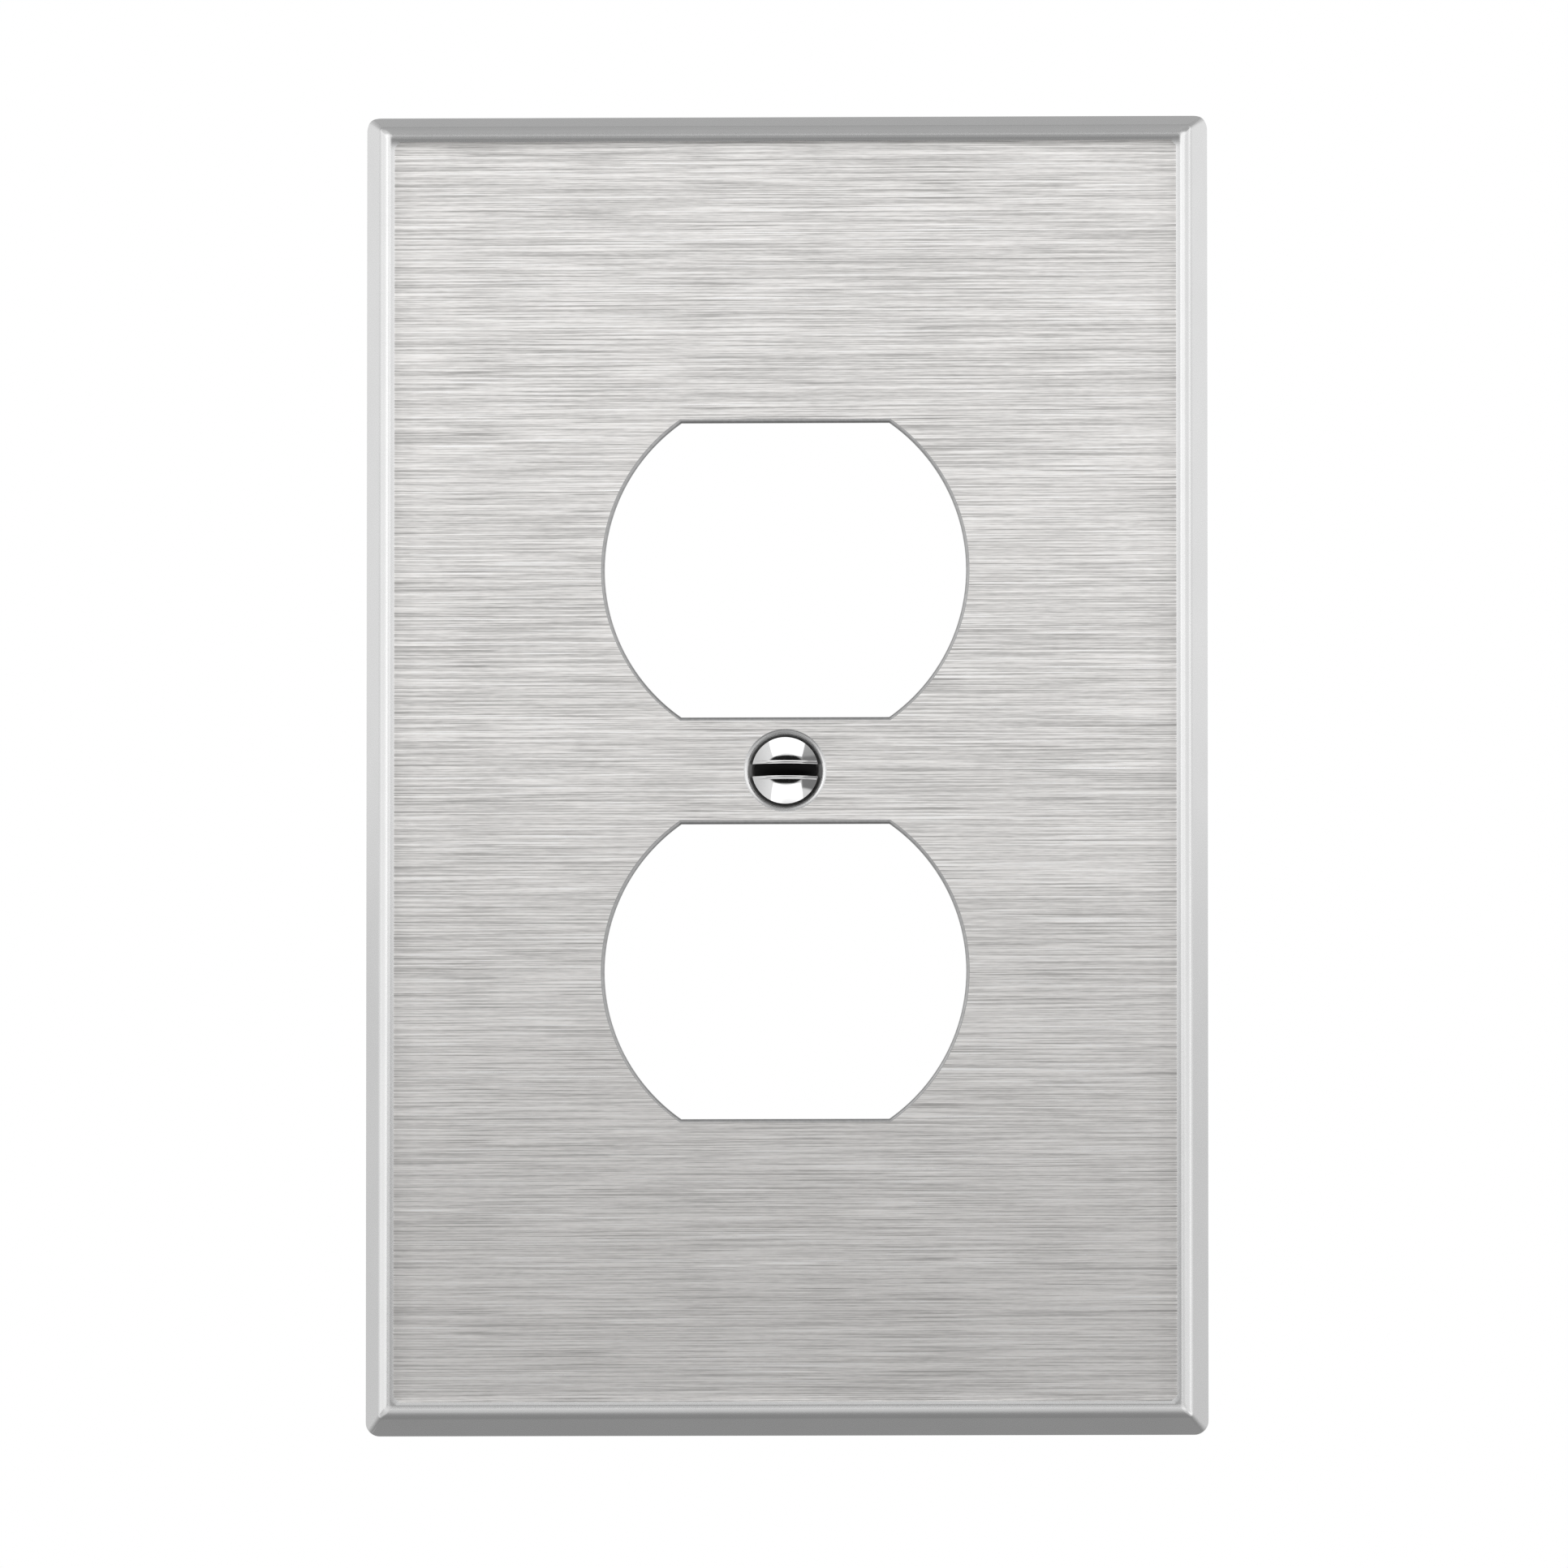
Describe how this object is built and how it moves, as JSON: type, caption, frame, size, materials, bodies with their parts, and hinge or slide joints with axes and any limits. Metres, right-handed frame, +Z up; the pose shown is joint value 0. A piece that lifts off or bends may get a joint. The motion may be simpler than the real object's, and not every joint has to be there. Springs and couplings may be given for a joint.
{
  "type": "wall plate cover",
  "caption": "Pressed brushed-steel wall plate with openings for a duplex receptacle and a slotted oval-head screw through its dimpled hole.",
  "frame": {"origin": "where the axis of the mounting screw meets the wall, on the plane of the plate's back rim", "axes": "+Z up the plate's height, +X to the right seen from the front, -Y out of the wall towards the viewer"},
  "size_m": [0.0814, 0.0137, 0.128],
  "materials": {
    "brushed_steel": "fine level brushing on the front, satin on the rounded border and flanges",
    "bright_steel": "bright polished"
  },
  "bodies": {
    "plate": {"wall_plate": "brushed_steel"},
    "screw": {"mounting_screw": "bright_steel"}
  },
  "joints": [
    {"name": "screw_turn", "type": "hinge", "parent": "plate", "child": "screw", "pos_m": [0, 0, 0], "axis": [0, 1, 0], "continuous": true}
  ]
}
